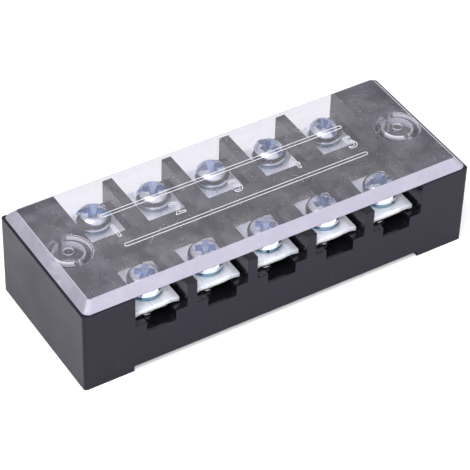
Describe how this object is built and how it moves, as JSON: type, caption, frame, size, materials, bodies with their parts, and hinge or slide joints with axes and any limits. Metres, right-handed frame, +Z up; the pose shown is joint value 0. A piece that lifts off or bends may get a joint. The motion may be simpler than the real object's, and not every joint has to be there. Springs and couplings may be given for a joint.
{
  "type": "barrier terminal strip",
  "caption": "Black moulded barrier terminal strip with combination-head clamp screws in bays along both sides and a clear push-on cover.",
  "frame": {"origin": "centre of the footprint, on the plane of the two feet", "axes": "+X along the row of poles, left to right as the picture shows it; +Y from the front terminals to the back ones; +Z up through the cover"},
  "size_m": [0.079, 0.03, 0.019],
  "materials": {
    "housing_plastic": "satin moulded black",
    "clear_plastic": "clear, glossy",
    "strap_metal": "nickel-plated strip",
    "clamp_metal": "bright zinc plate",
    "washer_metal": "bright zinc plate",
    "screw_metal": "bright zinc plate"
  },
  "bodies": {
    "housing": {"housing": "housing_plastic", "strap_1": "strap_metal", "strap_2": "strap_metal", "strap_3": "strap_metal", "strap_4": "strap_metal", "strap_5": "strap_metal"},
    "cover": {"cover": "clear_plastic"},
    "clamp_front_1": {"clamp_front_1": "clamp_metal", "washer_front_1": "washer_metal"},
    "screw_front_1": {"screw_front_1": "screw_metal"},
    "clamp_front_2": {"clamp_front_2": "clamp_metal", "washer_front_2": "washer_metal"},
    "screw_front_2": {"screw_front_2": "screw_metal"},
    "clamp_front_3": {"clamp_front_3": "clamp_metal", "washer_front_3": "washer_metal"},
    "screw_front_3": {"screw_front_3": "screw_metal"},
    "clamp_front_4": {"clamp_front_4": "clamp_metal", "washer_front_4": "washer_metal"},
    "screw_front_4": {"screw_front_4": "screw_metal"},
    "clamp_front_5": {"clamp_front_5": "clamp_metal", "washer_front_5": "washer_metal"},
    "screw_front_5": {"screw_front_5": "screw_metal"},
    "clamp_back_1": {"clamp_back_1": "clamp_metal", "washer_back_1": "washer_metal"},
    "screw_back_1": {"screw_back_1": "screw_metal"},
    "clamp_back_2": {"clamp_back_2": "clamp_metal", "washer_back_2": "washer_metal"},
    "screw_back_2": {"screw_back_2": "screw_metal"},
    "clamp_back_3": {"clamp_back_3": "clamp_metal", "washer_back_3": "washer_metal"},
    "screw_back_3": {"screw_back_3": "screw_metal"},
    "clamp_back_4": {"clamp_back_4": "clamp_metal", "washer_back_4": "washer_metal"},
    "screw_back_4": {"screw_back_4": "screw_metal"},
    "clamp_back_5": {"clamp_back_5": "clamp_metal", "washer_back_5": "washer_metal"},
    "screw_back_5": {"screw_back_5": "screw_metal"}
  },
  "joints": [
    {"name": "cover_lift", "type": "slide", "parent": "housing", "child": "cover", "axis": [0, 0, 1], "range_m": [0, 0.025]},
    {"name": "clamp_lift_front_1", "type": "slide", "parent": "housing", "child": "clamp_front_1", "axis": [0, 0, 1], "range_m": [0, 0.0015]},
    {"name": "screw_turn_front_1", "type": "hinge", "parent": "clamp_front_1", "child": "screw_front_1", "pos_m": [-0.02434, -0.0091, 0.0129], "axis": [0, 0, 1], "range_deg": [0, 900]},
    {"name": "clamp_lift_front_2", "type": "slide", "parent": "housing", "child": "clamp_front_2", "axis": [0, 0, 1], "range_m": [0, 0.0015]},
    {"name": "screw_turn_front_2", "type": "hinge", "parent": "clamp_front_2", "child": "screw_front_2", "pos_m": [-0.01217, -0.0091, 0.0129], "axis": [0, 0, 1], "range_deg": [0, 900]},
    {"name": "clamp_lift_front_3", "type": "slide", "parent": "housing", "child": "clamp_front_3", "axis": [0, 0, 1], "range_m": [0, 0.0015]},
    {"name": "screw_turn_front_3", "type": "hinge", "parent": "clamp_front_3", "child": "screw_front_3", "pos_m": [0, -0.0091, 0.0129], "axis": [0, 0, 1], "range_deg": [0, 900]},
    {"name": "clamp_lift_front_4", "type": "slide", "parent": "housing", "child": "clamp_front_4", "axis": [0, 0, 1], "range_m": [0, 0.0015]},
    {"name": "screw_turn_front_4", "type": "hinge", "parent": "clamp_front_4", "child": "screw_front_4", "pos_m": [0.01217, -0.0091, 0.0129], "axis": [0, 0, 1], "range_deg": [0, 900]},
    {"name": "clamp_lift_front_5", "type": "slide", "parent": "housing", "child": "clamp_front_5", "axis": [0, 0, 1], "range_m": [0, 0.0015]},
    {"name": "screw_turn_front_5", "type": "hinge", "parent": "clamp_front_5", "child": "screw_front_5", "pos_m": [0.02434, -0.0091, 0.0129], "axis": [0, 0, 1], "range_deg": [0, 900]},
    {"name": "clamp_lift_back_1", "type": "slide", "parent": "housing", "child": "clamp_back_1", "axis": [0, 0, 1], "range_m": [0, 0.0015]},
    {"name": "screw_turn_back_1", "type": "hinge", "parent": "clamp_back_1", "child": "screw_back_1", "pos_m": [-0.02434, 0.0091, 0.0129], "axis": [0, 0, 1], "range_deg": [0, 900]},
    {"name": "clamp_lift_back_2", "type": "slide", "parent": "housing", "child": "clamp_back_2", "axis": [0, 0, 1], "range_m": [0, 0.0015]},
    {"name": "screw_turn_back_2", "type": "hinge", "parent": "clamp_back_2", "child": "screw_back_2", "pos_m": [-0.01217, 0.0091, 0.0129], "axis": [0, 0, 1], "range_deg": [0, 900]},
    {"name": "clamp_lift_back_3", "type": "slide", "parent": "housing", "child": "clamp_back_3", "axis": [0, 0, 1], "range_m": [0, 0.0015]},
    {"name": "screw_turn_back_3", "type": "hinge", "parent": "clamp_back_3", "child": "screw_back_3", "pos_m": [0, 0.0091, 0.0129], "axis": [0, 0, 1], "range_deg": [0, 900]},
    {"name": "clamp_lift_back_4", "type": "slide", "parent": "housing", "child": "clamp_back_4", "axis": [0, 0, 1], "range_m": [0, 0.0015]},
    {"name": "screw_turn_back_4", "type": "hinge", "parent": "clamp_back_4", "child": "screw_back_4", "pos_m": [0.01217, 0.0091, 0.0129], "axis": [0, 0, 1], "range_deg": [0, 900]},
    {"name": "clamp_lift_back_5", "type": "slide", "parent": "housing", "child": "clamp_back_5", "axis": [0, 0, 1], "range_m": [0, 0.0015]},
    {"name": "screw_turn_back_5", "type": "hinge", "parent": "clamp_back_5", "child": "screw_back_5", "pos_m": [0.02434, 0.0091, 0.0129], "axis": [0, 0, 1], "range_deg": [0, 900]}
  ],
  "couplings": [
    {"joint": "screw_turn_front_1", "follows": "clamp_lift_front_1", "rad_per_m": 10472},
    {"joint": "screw_turn_front_2", "follows": "clamp_lift_front_2", "rad_per_m": 10472},
    {"joint": "screw_turn_front_3", "follows": "clamp_lift_front_3", "rad_per_m": 10472},
    {"joint": "screw_turn_front_4", "follows": "clamp_lift_front_4", "rad_per_m": 10472},
    {"joint": "screw_turn_front_5", "follows": "clamp_lift_front_5", "rad_per_m": 10472},
    {"joint": "screw_turn_back_1", "follows": "clamp_lift_back_1", "rad_per_m": 10472},
    {"joint": "screw_turn_back_2", "follows": "clamp_lift_back_2", "rad_per_m": 10472},
    {"joint": "screw_turn_back_3", "follows": "clamp_lift_back_3", "rad_per_m": 10472},
    {"joint": "screw_turn_back_4", "follows": "clamp_lift_back_4", "rad_per_m": 10472},
    {"joint": "screw_turn_back_5", "follows": "clamp_lift_back_5", "rad_per_m": 10472}
  ]
}
